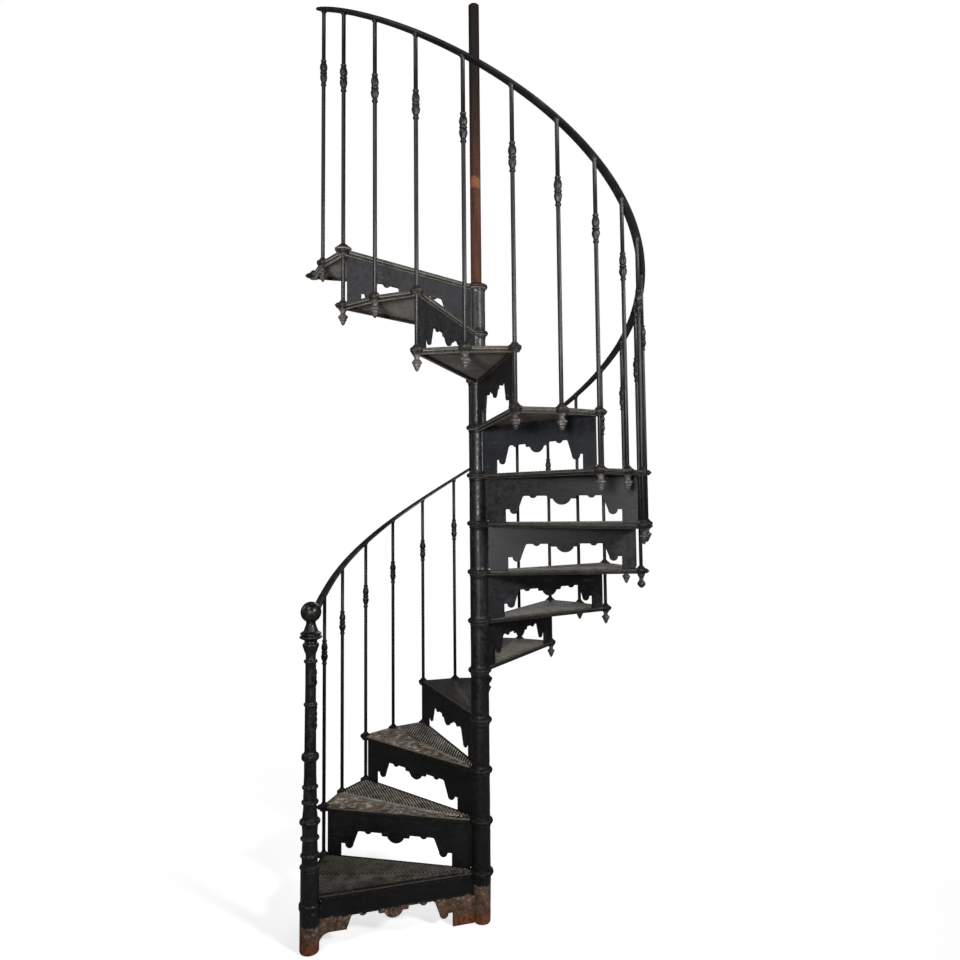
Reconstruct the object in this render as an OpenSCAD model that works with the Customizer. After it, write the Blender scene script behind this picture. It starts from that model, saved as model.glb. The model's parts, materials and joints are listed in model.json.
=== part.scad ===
// Cast-iron spiral staircase: thirteen wedge treads make one full turn round a centre pipe.
// The origin is the middle of the column's foot on the floor, +Z up, millimetres.
// Each step is drawn with its riser along +X and the lower steps on its +Y side,
// and is then turned and raised to its place.

/* [Stair] */
// Height from one tread to the next
rise = 200; // [170:1:240]
// Angle that the whole flight turns through
turn = 360; // [300:1:390]
// Direction of the first riser, seen from above
start_az = 197.5; // [0:0.5:360]
// Radius of the circle that the balusters stand on
rail_r = 680; // [600:1:820]

/* [Treads] */
// Thickness of the tread plate
plate_t = 7; // [5:0.5:12]
// Depth of the rim under the tread's edges
rim_h = 20; // [16:1:30]
// Width of the rim
rim_w = 16; // [10:1:20]
// How far the front edge stands before the riser's middle line
nosing = 13; // [8:1:22]
// How far the back edge reaches behind the next riser's middle line
back_lap = 10; // [8:1:18]
// How far the outer edge reaches past the baluster circle
outer_lap = 9; // [6:1:16]
// Set-back of the rim's lower bead
bead_step = 4; // [1:0.5:6]

/* [Risers] */
// Thickness of a riser
riser_t = 8; // [5:0.5:12]
// Clear slit between a riser and its baluster
riser_slit = 11; // [6:1:20]
// Width of the cut-out in a riser
arch_w = 478; // [380:1:520]
// Height of the cut-out's top edge over the tread
arch_h = 108; // [90:1:130]
// Height of the cut-out's step beside each leg
leg_step_h = 54; // [44:1:70]

/* [Column] */
// Diameter of the drums between the treads
drum_d = 74; // [60:1:90]
// Diameter of the bead round each hub
ring_d = 94; // [92:1:120]
// Height of that bead
ring_h = 20; // [14:1:28]
// Diameter of the centre pipe
pipe_d = 46; // [30:1:52]
// Height of the pipe's top over the floor
pipe_top = 3845; // [3400:5:4700]
// Diameter of the column's foot at the floor
foot_d = 67; // [56:1:72]

/* [Balusters] */
// Diameter of a baluster rod
rod_d = 15; // [9:0.5:18]
// Greatest diameter of the knop on a rod
knop_d = 28; // [18:1:36]
// Length of the knop
knop_len = 106; // [80:1:150]
// Distance from the rail's middle down to the knop's middle
knop_drop = 258; // [200:1:400]
// Diameter of the boss at a baluster's foot
boss_d = 46; // [36:1:56]
// Height of the boss over the tread
boss_h = 10; // [6:1:16]
// Reach of a corner knob past the baluster's middle
knob_reach = 30; // [29:1:45]
// Diameter of a pendant under a baluster
pendant_d = 34; // [24:1:44]
// Length of a pendant
pendant_len = 58; // [40:1:90]

/* [Handrail] */
// Height of the rail's middle over a tread's back edge
rail_h = 1100; // [900:5:1200]
// Width of the rail
rail_w = 34; // [24:1:46]
// Thickness of the rail
rail_t = 14; // [10:1:20]

/* [Newel] */
// Distance from the baluster circle out to the newel's middle
newel_out = 5; // [0:1:10]
// Diameter of the newel's foot
newel_foot_d = 74; // [60:1:80]
// Diameter of the ball on the newel
ball_d = 80; // [60:1:90]

/* [Hidden] */
steps = 13;
lower_steps = 6;
step_deg = turn / steps;
// Clearance between pieces that fit round each other
gap = 0.3;
round_fn = 64;
small_fn = 32;

// Column
hub_up = 7;
hub_drop = 1;
// The hub reaches down past the bead, and at least as far as the rim
hub_under = max(rim_h, ring_h - hub_up + hub_drop + 1);
bead_root = 5;
// The pipe is a little slimmer inside the column than above it
core_d = pipe_d - 1;
bore_d = core_d + 2 * gap;
shoulder_z = steps * rise + hub_up + gap;
foot_round = 4;

// Riser
riser_end = rail_r - rod_d / 2 - riser_slit;
arch_mid = 362;
arch_half = arch_w / 2;
arch_round = 6;
side_lobe_u = arch_half - 36;
side_lobe_r = 18;
side_lobe_z = 53;
slant_u = arch_half - 74;
small_lobe_u = slant_u - 45;
small_lobe_r = 17;
small_lobe_rise = 8;
centre_step_u = 62;
centre_step_drop = 12;
centre_lobe_r = 40;
centre_lobe_rise = 4;
bracket_u = arch_half + 7;
bracket_r = 42;
bracket_z = 16;

// Baluster and pendant
rod_r = rod_d / 2;
hole_r = rod_r + gap;
collar_d = boss_d * 0.68;
flange_h = 4;
boss_rise = 1;
rod_seat = 12;
knob_d = 22;
knob_tip_d = 5;

// Handrail: rings for every step, the step where the level sweep to the newel ends,
// the last ring at the top, and the narrowed end at the newel
rings = 8;
ease = 1.1;
rail_last = 12.75;
neck_d = 34;
rail_first = (neck_d / 2 + gap) / (rail_r * step_deg * PI / 180);
narrow_to = 0.375;
end_width = 0.5;
slope = atan(rise / (rail_r * step_deg * PI / 180));
rail_v = rail_t / cos(slope);
arc_points = 7;

// Newel
newel_r = rail_r + newel_out;
newel_d = 70;
newel_ring_d = 82;
newel_ring_h = 28;
newel_ring_top = rise - rim_h;
head_z = rail_z(0);

function step_name(word, k) = str(word, "_", k < 10 ? "0" : "", k);
function direction(a) = [cos(a), sin(a)];
function left_of(a) = [-sin(a), cos(a)];
function mix(a, b, t) = a + (b - a) * t;

// Height of the rail's middle at s steps past the newel, and the angle that it climbs at
function rail_z(s) = rail_h + rise * (s < ease ? ease / 2 + s * s / (2 * ease) : s);
function rail_slope(s) = atan(tan(slope) * min(1, s / ease));

// A tread's outline, with its front, back and outer edges drawn in by a distance
function wedge(inset, inner) =
    let (front = nosing - inset, back = back_lap - inset, outer = rail_r + outer_lap - inset)
    [
        inner * direction(0) + front * left_of(0),
        outer * direction(0) + front * left_of(0),
        outer * direction(-step_deg / 2),
        outer * direction(-step_deg) - back * left_of(-step_deg),
        inner * direction(-step_deg) - back * left_of(-step_deg)
    ];

module at_riser(s) {
    rotate([0, 0, start_az - s * step_deg]) children();
}

module at_post(s) {
    at_riser(s) translate([rail_r, 0, 0]) children();
}

module turned(profile, fn = round_fn) {
    rotate_extrude($fn = fn) polygon(profile);
}

// ---- Column ----

module bored(from, to) {
    difference() {
        children();
        translate([0, 0, from - 1]) cylinder(h = to - from + 2, d = bore_d, $fn = round_fn);
    }
}

module column_foot() {
    top = rise - hub_under;
    color("saddlebrown") bored(0, top) turned([
        [0, 0],
        [foot_d / 2 - foot_round, 0],
        [foot_d / 2, foot_round],
        [drum_d / 2, top],
        [0, top]
    ]);
}

module column_drums() {
    for (k = [1:steps - 1]) {
        from = k * rise + hub_up;
        to = (k + 1) * rise - hub_under;
        color("dimgray") bored(from, to)
            translate([0, 0, from]) cylinder(h = to - from, d = drum_d, $fn = round_fn);
    }
}

module centre_pipe() {
    color("saddlebrown") turned([
        [0, 0],
        [core_d / 2, 0],
        [core_d / 2, shoulder_z],
        [pipe_d / 2, shoulder_z],
        [pipe_d / 2, pipe_top],
        [0, pipe_top]
    ]);
}

// ---- Treads ----

module hub() {
    bead_r = ring_h / 2;
    translate([0, 0, -hub_under]) cylinder(h = hub_under + hub_up, d = drum_d, $fn = round_fn);
    translate([0, 0, hub_up - hub_drop - bead_r]) rotate_extrude($fn = round_fn) intersection() {
        translate([ring_d / 2 - bead_r, 0]) circle(r = bead_r, $fn = small_fn);
        translate([drum_d / 2 - bead_root, -ring_h]) square([ring_d, 2 * ring_h]);
    }
}

module boss() {
    under = rim_h - boss_rise;
    translate([0, 0, -under]) cylinder(h = under + flange_h, d = boss_d, $fn = small_fn);
    translate([0, 0, flange_h - 1]) cylinder(h = boss_h - flange_h + 1, d = collar_d, $fn = small_fn);
}

module corner_knob() {
    start = boss_d / 2 - 3;
    translate([start, 0, -rim_h / 2]) rotate([0, 90, 0])
        cylinder(h = knob_reach - start, d1 = knob_d * 0.8, d2 = knob_tip_d, $fn = small_fn);
}

module on_corner(s) {
    rotate([0, 0, -s * step_deg]) translate([rail_r, 0, 0]) children();
}

module post_hole() {
    translate([0, 0, -rim_h - 1]) cylinder(h = rim_h + boss_h + 2, r = hole_r, $fn = small_fn);
}

module tread_plate() {
    under = rim_h * 0.45;
    difference() {
        union() {
            translate([0, 0, -under]) linear_extrude(under) polygon(wedge(0, 0));
            translate([0, 0, -rim_h]) linear_extrude(rim_h) polygon(wedge(bead_step, 0));
        }
        translate([0, 0, -rim_h - 1]) linear_extrude(rim_h + 1 - plate_t)
            polygon(wedge(rim_w + bead_step, ring_d / 2 + rim_w));
    }
}

module tread(k) {
    first = k == 1;
    last = k == steps;
    at_riser(k - 1) translate([0, 0, k * rise]) color("slategray") difference() {
        union() {
            tread_plate();
            hub();
            if (!first) on_corner(0) {
                boss();
                corner_knob();
            }
            on_corner(0.5) boss();
            on_corner(1) {
                boss();
                corner_knob();
            }
        }
        translate([0, 0, -hub_under - 1])
            cylinder(h = hub_under + hub_up + 2, d = bore_d, $fn = round_fn);
        if (first) on_corner(0) translate([newel_out, 0, -rim_h - 1])
            cylinder(h = rim_h + 2, d = newel_d + 2 * gap, $fn = round_fn);
        if (!first) on_corner(0) post_hole();
        on_corner(0.5) post_hole();
        if (!last) on_corner(1) post_hole();
    }
}

// ---- Risers ----

// One half of the cut-out's outline, with or without the lobe that hangs beside the leg
module arch_side(lobed) {
    outer = lobed ? arch_half : bracket_u;
    step_z = lobed ? leg_step_h : bracket_z + bracket_r;
    difference() {
        polygon([
            [-1, -1],
            [outer, -1],
            [outer, step_z],
            [lobed ? side_lobe_u : side_lobe_u - side_lobe_r, step_z],
            [side_lobe_u - side_lobe_r, side_lobe_z],
            [slant_u + 1, arch_h - arch_round],
            [slant_u - arch_round / 3, arch_h - arch_round / 3],
            [slant_u - arch_round, arch_h],
            [centre_step_u, arch_h],
            [centre_step_u - 4, arch_h - centre_step_drop],
            [-1, arch_h - centre_step_drop]
        ]);
        if (lobed) translate([side_lobe_u, side_lobe_z]) circle(r = side_lobe_r, $fn = small_fn);
        translate([small_lobe_u, arch_h + small_lobe_rise]) circle(r = small_lobe_r, $fn = small_fn);
        translate([0, arch_h + centre_lobe_rise]) circle(r = centre_lobe_r, $fn = small_fn);
    }
}

// The first riser has a bracket's arc beside the newel in place of its outer leg
module arch_outline(first) {
    arch_side(!first);
    mirror([1, 0]) arch_side(true);
    if (first) translate([bracket_u, bracket_z]) {
        circle(r = bracket_r, $fn = round_fn);
        translate([-bracket_r, -2 * bracket_r]) square([2 * bracket_r, 2 * bracket_r]);
    }
}

module riser(k) {
    height = rise - rim_h;
    first = k == 1;
    end = first ? newel_r : riser_end;
    at_riser(k - 1) translate([0, 0, (k - 1) * rise]) color("darkslategray") difference() {
        translate([0, riser_t / 2, 0]) rotate([90, 0, 0]) linear_extrude(riser_t) difference() {
            square([end, height]);
            translate([arch_mid, 0]) arch_outline(first);
        }
        translate([0, 0, -1]) cylinder(h = height + 2, d = drum_d + 2 * gap, $fn = round_fn);
        if (hub_under > rim_h) translate([0, 0, rise - hub_under - gap])
            cylinder(h = hub_under, d = ring_d + 2 * gap, $fn = round_fn);
        if (!first) {
            translate([0, 0, -1]) cylinder(h = hub_up + 1 + gap, d = ring_d + 2 * gap, $fn = round_fn);
            on_corner(0) translate([0, 0, -1])
                cylinder(h = boss_h + 1 + gap, d = boss_d + 2 * gap, $fn = small_fn);
        }
        if (first) on_corner(0) translate([newel_out, 0, -1]) {
            cylinder(h = height + 2, d = newel_foot_d + 2 * gap, $fn = round_fn);
            translate([0, 0, newel_ring_top - newel_ring_h - gap])
                cylinder(h = newel_ring_h + 3, d = newel_ring_d + 2 * gap, $fn = round_fn);
        }
    }
}

// ---- Balusters and pendants ----

// Radius and height over the knop's middle, as shares of the knop's size
knop_shape = [
    [0.25, -0.50], [0.36, -0.48], [0.37, -0.41], [0.27, -0.38], [0.36, -0.30], [0.48, -0.20],
    [0.49, -0.12], [0.36, -0.05], [0.47, -0.03], [0.47, 0.02], [0.36, 0.05], [0.46, 0.14],
    [0.47, 0.22], [0.36, 0.36], [0.29, 0.41], [0.37, 0.43], [0.37, 0.48], [0.25, 0.50]
];

// A baluster at s steps past the newel, cut off under the slope of the rail
module baluster(foot_z, s) {
    rail_mid = rail_z(s);
    under = rail_mid - rail_v / 2 - gap;
    knop_z = rail_mid - knop_drop;
    over = rail_w;
    difference() {
        turned(concat(
            [[0, foot_z], [rod_r, foot_z]],
            [for (p = knop_shape) [max(rod_r, p[0] * knop_d), knop_z + p[1] * knop_len]],
            [[rod_r, rail_mid], [0, rail_mid]]
        ), small_fn);
        translate([0, 0, under]) rotate([-rail_slope(s), 0, 0]) translate([-over, -over, 0])
            cube([2 * over, 2 * over, over]);
    }
}

module corner_balusters(from, to) {
    for (k = [from:to]) at_post(k)
        color("gray") baluster(k * rise - rim_h - rod_seat, k);
}

module middle_balusters(from, to) {
    for (k = [from:to]) at_post(k - 0.5)
        color("gray") baluster(k * rise - rim_h - rod_seat, k - 0.5);
}

// Radius and depth of the pendant, as shares of its size
pendant_shape = [
    [0.46, 0], [0.37, 0.08], [0.30, 0.16], [0.26, 0.28], [0.30, 0.34], [0.46, 0.40], [0.50, 0.46],
    [0.50, 0.52], [0.38, 0.62], [0.36, 0.70], [0.25, 0.78], [0.22, 0.88], [0.07, 1]
];

module pendant() {
    difference() {
        turned(concat(
            [[0, 0]],
            [for (p = pendant_shape) [p[0] * pendant_d, -p[1] * pendant_len]],
            [[0, -pendant_len]]
        ), small_fn);
        translate([0, 0, -rod_seat - gap]) cylinder(h = rod_seat + 1, r = hole_r, $fn = small_fn);
    }
}

module pendants(from, to, shift) {
    for (k = [from:to]) at_post(k - shift) translate([0, 0, k * rise - rim_h])
        color("dimgray") pendant();
}

// ---- Handrail ----

// One ring of the half-round section at s steps past the newel
function rail_ring(s) =
    let (
        wide = s < narrow_to ? mix(end_width, 1, (s - rail_first) / (narrow_to - rail_first)) : 1,
        half = wide * rail_w / 2,
        d = direction(start_az - s * step_deg),
        z = rail_z(s)
    )
    [for (i = [0:arc_points - 1])
        let (a = 180 * i / (arc_points - 1), r = rail_r + half * cos(a))
        [r * d[0], r * d[1], z + rail_v * (sin(a) - 0.5)]];

module rail_length(stations) {
    n = len(stations);
    m = arc_points;
    color("dimgray") polyhedron(
        points = [for (s = stations) each rail_ring(s)],
        faces = concat(
            [[for (i = [0:m - 1]) i]],
            [[for (i = [m - 1:-1:0]) (n - 1) * m + i]],
            [for (j = [0:n - 2], i = [0:m - 1], h = [0, 1])
                let (a = j * m + i, b = j * m + (i + 1) % m)
                h == 0 ? [a, a + m, b] : [b, a + m, b + m]]
        )
    );
}

module handrail(q) {
    span = 3 * rings;
    from = (q - 1) * span;
    to = q == 4 ? floor(rail_last * rings) : q * span;
    rail_length([for (j = [from:to]) j == 0 ? rail_first : j / rings]);
}

// ---- Newel ----

// Turned mouldings as diameter and height: those of the lower part are measured up from
// the first tread, those of the head down from the rail
newel_low = [
    [newel_d, 0], [newel_d, 118], [62, 120], [62, 124], [72, 127], [72, 132], [62, 136],
    [60, 166], [66, 172], [60, 178], [60, 228], [66, 232], [66, 238], [56, 242], [58, 284],
    [72, 292], [72, 300], [56, 308], [52, 360], [60, 364], [60, 372], [50, 376], [52, 418],
    [58, 424], [50, 430], [46, 520], [60, 526], [60, 548], [44, 554]
];
newel_head = [
    [43, -304], [50, -300], [50, -292], [41, -288], [41, -140], [50, -136], [50, -130],
    [38, -126], [38, -108], [50, -100], [66, -76], [66, -66], [50, -62], [52, -52],
    [84, -44], [84, -36], [74, -34], [80, -30], [80, -24], [56, -21], [40, -15],
    [neck_d, -10], [neck_d, 18]
];

module at_newel() {
    at_riser(0) translate([newel_r, 0, 0]) children();
}

module newel_post() {
    ring_z = newel_ring_top - newel_ring_h;
    at_newel() color("dimgray") turned(concat(
        [[0, 0], [newel_foot_d / 2 - foot_round, 0], [newel_foot_d / 2, foot_round]],
        [[newel_foot_d / 2, ring_z - 4], [newel_d / 2 - 2, ring_z - 2], [newel_d / 2 - 2, ring_z]],
        [[newel_ring_d / 2 - 3, ring_z], [newel_ring_d / 2, ring_z + 4]],
        [[newel_ring_d / 2, newel_ring_top - 4], [newel_ring_d / 2 - 3, newel_ring_top]],
        [for (p = newel_low) [p[0] / 2, newel_ring_top + p[1]]],
        [for (p = newel_head) [p[0] / 2, head_z + p[1]]],
        [[0, head_z + 18]]
    ));
}

module newel_ball() {
    cut = sqrt(pow(ball_d / 2, 2) - pow(neck_d / 2, 2));
    at_newel() translate([0, 0, head_z + 18 + cut]) color("dimgray") difference() {
        sphere(d = ball_d, $fn = round_fn);
        translate([0, 0, -cut - ball_d]) cylinder(h = ball_d, d = ball_d, $fn = round_fn);
    }
}

column_foot();
column_drums();
centre_pipe();
newel_post();
newel_ball();
for (k = [1:steps]) {
    tread(k);
    riser(k);
}
for (q = [1:4])
    handrail(q);
corner_balusters(1, lower_steps);  // corner_balusters_lower
corner_balusters(lower_steps + 1, steps - 1);  // corner_balusters_upper
middle_balusters(1, lower_steps);  // middle_balusters_lower
middle_balusters(lower_steps + 1, steps);  // middle_balusters_upper
pendants(1, lower_steps, 0);  // corner_pendants_lower
pendants(lower_steps + 1, steps - 1, 0);  // corner_pendants_upper
pendants(1, lower_steps, 0.5);  // middle_pendants_lower
pendants(lower_steps + 1, steps, 0.5);  // middle_pendants_upper
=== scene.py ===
"""Cast-iron spiral staircase: castings, handrail, balusters, finishes and a plain studio.

Metres, +Z up, origin at the middle of the column's foot. A step is drawn with its riser
along +X and the lower steps on its +Y side, and is then turned and raised to its place.
"""
import json
import math

import bmesh
import bpy
import numpy as np
from mathutils import Matrix, Vector

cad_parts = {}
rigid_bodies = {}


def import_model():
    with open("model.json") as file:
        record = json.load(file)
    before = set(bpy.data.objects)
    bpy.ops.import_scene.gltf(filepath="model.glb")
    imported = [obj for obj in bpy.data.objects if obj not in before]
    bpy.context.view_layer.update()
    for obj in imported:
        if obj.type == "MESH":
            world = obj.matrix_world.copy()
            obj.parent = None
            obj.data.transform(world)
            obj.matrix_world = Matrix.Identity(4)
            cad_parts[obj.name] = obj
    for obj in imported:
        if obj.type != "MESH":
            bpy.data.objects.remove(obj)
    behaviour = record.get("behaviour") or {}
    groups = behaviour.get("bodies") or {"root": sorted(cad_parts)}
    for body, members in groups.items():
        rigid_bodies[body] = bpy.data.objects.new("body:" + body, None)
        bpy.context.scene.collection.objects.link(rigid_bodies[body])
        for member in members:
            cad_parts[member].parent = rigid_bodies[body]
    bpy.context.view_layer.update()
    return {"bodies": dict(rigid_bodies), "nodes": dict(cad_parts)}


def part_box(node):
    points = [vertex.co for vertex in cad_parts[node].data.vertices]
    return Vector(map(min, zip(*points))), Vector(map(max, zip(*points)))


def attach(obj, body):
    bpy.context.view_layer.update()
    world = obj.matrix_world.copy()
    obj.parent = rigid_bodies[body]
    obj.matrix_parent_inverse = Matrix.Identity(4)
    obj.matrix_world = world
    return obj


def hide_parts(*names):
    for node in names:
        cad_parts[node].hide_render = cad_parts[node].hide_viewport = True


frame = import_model()

MM = 0.001
NEWEL_OUT = 5 * MM
BODY = "root" if "root" in frame["bodies"] else next(iter(frame["bodies"]))


# ---- Sizes that the frame gives ----

def span(node):
    """Lowest corner, highest corner and middle of a CAD node."""
    low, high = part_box(node)
    return low, high, (low + high) / 2


STEPS = sum(name.startswith("tread_") for name in frame["nodes"])
STEP = 2 * math.pi / STEPS
RISE = span("tread_03")[0].z - span("tread_02")[0].z
RIM_H = 2 * RISE - span("tread_02")[0].z
NEWEL = span("newel_ball")[2].to_2d()
START = math.atan2(NEWEL.y, NEWEL.x)
NEWEL_R = NEWEL.length
RAIL_R = NEWEL_R - NEWEL_OUT
DRUM_R = (span("column_drums")[1].x - span("column_drums")[0].x) / 2
PIPE_R = (span("centre_pipe")[1].x - span("centre_pipe")[0].x) / 2
PIPE_TOP = span("centre_pipe")[1].z
BALL_R = (span("newel_ball")[1].x - span("newel_ball")[0].x) / 2
BALL_TOP = span("newel_ball")[1].z

# ---- Sizes of the castings ----

BORE_R = PIPE_R - 0.2 * MM
FOOT_R = 33.5 * MM
PIPE_WALL = 4.5 * MM
PLATE = 7 * MM
RISER_T = 8 * MM
NOSING = 13 * MM
BACK_LAP = 10 * MM
OUTER_LAP = 9 * MM
HUB_UP = 7 * MM
RING_R = 48 * MM
RING_H = 20 * MM
RIM_W = 16 * MM
UPPER_BEAD = 9 * MM
LOWER_BEAD = 12.3 * MM
BEAD_STEP = 4 * MM
ROD_R = 7.5 * MM
ROD_SEAT = 12 * MM
KNOP_R = 14.5 * MM
KNOP_LENGTH = 106 * MM
KNOP_DROP = 258 * MM
RIB_PITCH = 16 * MM
RIB_HEIGHT = 2.2 * MM
RIB_MARGIN = 15 * MM
CHEVRON_SHIFT = 12 * MM
KNOB_DROP = 8.5 * MM

# Handrail: height of its middle over a tread's back edge, half width and thickness,
# and the number of steps over which the level start sweeps into the slope
RAIL_H = 1.1
RAIL_HALF = 17 * MM
RAIL_T = 14 * MM
EASE = 1.1
RAIL_LAST = 12.75
SLOPE = math.atan(RISE / (RAIL_R * STEP))
RAIL_V = RAIL_T / math.cos(SLOPE)
NECK_R = 17 * MM


# ---- Places ----

def turned(steps, radius=0.0, height=0.0):
    """Place on the circle at a number of steps past the newel, with local +X outward."""
    turn = Matrix.Rotation(START - steps * STEP, 4, "Z")
    return turn @ Matrix.Translation((radius, 0, height))


def rail_height(steps):
    """Height of the rail's middle at a number of steps past the newel."""
    level = EASE / 2 + steps * steps / (2 * EASE)
    return RAIL_H + RISE * (level if steps < EASE else steps)


def polar(radius, angle):
    return np.array([radius * math.cos(angle), radius * math.sin(angle)])


def lerp(a, b, share):
    return a + (b - a) * share


# ---- Shells: a shell is (points, faces), and a piece is made of one or more ----

def moved(shell, place):
    """The shell with its points carried to a place."""
    points = np.asarray(shell[0], float).reshape(-1, 3)
    m = np.array(place)
    return points @ m[:3, :3].T + m[:3, 3], shell[1]


def lathe(profile, segments=48, relief=None, ring=False):
    """Turned solid from (radius, height) points, low to high, or a ring's closed section.
    relief(angle, height) is added to the radius."""
    angles = np.arange(segments) * 2 * math.pi / segments
    rows = []
    for radius, height in profile:
        swell = relief(angles, height) if relief else 0.0
        r = radius + swell * np.ones(segments)
        level = np.full(segments, height)
        rows.append(np.stack([r * np.cos(angles), r * np.sin(angles), level], 1))
    count = len(rows)
    faces = []
    for j in range(count if ring else count - 1):
        row, next_row = j * segments, (j + 1) % count * segments
        for i in range(segments):
            n = (i + 1) % segments
            faces.append((row + i, row + n, next_row + n, next_row + i))
    if not ring:
        rows.append(np.array([[0, 0, profile[0][1]], [0, 0, profile[-1][1]]]))
        low, high = count * segments, count * segments + 1
        top = (count - 1) * segments
        for i in range(segments):
            n = (i + 1) % segments
            faces.append((low, n, i))
            faces.append((high, top + i, top + n))
    return np.concatenate(rows), faces


def loft(loops, capped=True):
    """Solid through closed loops that have the same number of points."""
    m, n = len(loops[0]), len(loops)
    faces = []
    for j in range(n - 1):
        for i in range(m):
            k = (i + 1) % m
            faces.append((j * m + i, j * m + k, (j + 1) * m + k, (j + 1) * m + i))
    if capped:
        faces.append(tuple(range(m - 1, -1, -1)))
        faces.append(tuple((n - 1) * m + i for i in range(m)))
    return np.array(loops, float).reshape(-1, 3), faces


def soften(points, cut, parts=3):
    """The polyline with each inner corner rounded over a distance of about cut."""
    points = [np.array(p, float) for p in points]
    out = [points[0]]
    for before, corner, after in zip(points, points[1:], points[2:]):
        back, on = before - corner, after - corner
        reach = min(cut, 0.45 * np.linalg.norm(back), 0.45 * np.linalg.norm(on))
        start = corner + back / np.linalg.norm(back) * reach
        end = corner + on / np.linalg.norm(on) * reach
        for i in range(parts + 1):
            t = i / parts
            out.append((1 - t) ** 2 * start + 2 * t * (1 - t) * corner + t * t * end)
    out.append(points[-1])
    return out


def piece(name, shells, material, nodes, sharp=40, marks=()):
    """A piece made of shells, which stands for CAD nodes. marks are (name, values) kept on its
    points for its finish."""
    points, faces, first = [], [], 0
    for shell_points, shell_faces in shells:
        points.append(shell_points)
        faces += [tuple(first + i for i in face) for face in shell_faces]
        first += len(shell_points)
    points = np.concatenate(points)
    mesh = bpy.data.meshes.new(name)
    mesh.from_pydata(points.tolist(), [], faces)
    mesh.shade_smooth()
    mesh.set_sharp_from_angle(angle=math.radians(sharp))
    for mark, values in marks:
        kept = mesh.attributes.new(mark, "FLOAT", "POINT")
        kept.data.foreach_set("value", np.asarray(values, np.float32))
    mesh.materials.append(material)
    made = bpy.data.objects.new(name, mesh)
    bpy.context.scene.collection.objects.link(made)
    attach(made, BODY)
    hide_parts(*nodes)
    return made


# ---- Finishes ----

class Finish:
    """A material whose nodes are written as expressions in object coordinates."""

    def __init__(self, name, specular=0.28):
        self.material = bpy.data.materials.new(name)
        self.material.use_nodes = True
        self.tree = self.material.node_tree
        self.shader = self.tree.nodes["Principled BSDF"]
        self.shader.inputs["Specular IOR Level"].default_value = specular
        coordinates = self.node("ShaderNodeTexCoord")
        self.place, self.normal = coordinates.outputs["Object"], coordinates.outputs["Normal"]

    def node(self, kind, inputs=None, **settings):
        made = self.tree.nodes.new(kind)
        for key, value in settings.items():
            setattr(made, key, value)
        for socket, value in (inputs or {}).items():
            self.put(value, made.inputs[socket])
        return made

    def put(self, value, socket):
        if isinstance(value, bpy.types.NodeSocket):
            self.tree.links.new(value, socket)
        else:
            socket.default_value = value

    def noise(self, scale, detail=5.0, rough=0.6, stretch=(1, 1, 1)):
        where = self.node("ShaderNodeMapping", {"Vector": self.place, "Scale": stretch})
        grain = self.node("ShaderNodeTexNoise", {
            "Vector": where.outputs[0], "Scale": scale, "Detail": detail, "Roughness": rough})
        return grain.outputs["Fac"]

    def spread(self, value, low, high, start=0.0, end=1.0):
        """Smooth step of value between low and high."""
        ramp = self.node("ShaderNodeMapRange", {
            "Value": value, "From Min": low, "From Max": high, "To Min": start, "To Max": end},
            interpolation_type="SMOOTHSTEP")
        return ramp.outputs["Result"]

    def calc(self, operation, a, b):
        return self.node("ShaderNodeMath", {0: a, 1: b}, operation=operation).outputs[0]

    def plus(self, a, b):
        return self.calc("ADD", a, b)

    def minus(self, a, b):
        return self.calc("SUBTRACT", a, b)

    def times(self, a, b):
        return self.calc("MULTIPLY", a, b)

    def larger(self, a, b):
        return self.calc("MAXIMUM", a, b)

    def swing(self, noise, reach):
        """The noise as an amount that goes to both sides of zero."""
        return self.times(self.minus(noise, 0.5), reach)

    def mix(self, share, a, b):
        made = self.node("ShaderNodeMix", {"Factor": share}, data_type="RGBA")
        for value, socket in ((a, 6), (b, 7)):
            linked = isinstance(value, bpy.types.NodeSocket)
            self.put(value if linked else (*value, 1), made.inputs[socket])
        return made.outputs[2]

    def distance(self, value, middle):
        """How far a value is from a middle value, on either side."""
        off = self.minus(value, middle)
        return self.node("ShaderNodeMath", {0: off}, operation="ABSOLUTE").outputs[0]

    def height(self):
        return self.node("ShaderNodeSeparateXYZ", {0: self.place}).outputs["Z"]

    def finish(self, colour, roughness, bump, depth):
        self.put(colour, self.shader.inputs["Base Color"])
        self.put(roughness, self.shader.inputs["Roughness"])
        relief = self.node("ShaderNodeBump", {"Height": bump, "Strength": 1.0, "Distance": depth})
        self.put(relief.outputs[0], self.shader.inputs["Normal"])
        return self.material


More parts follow.
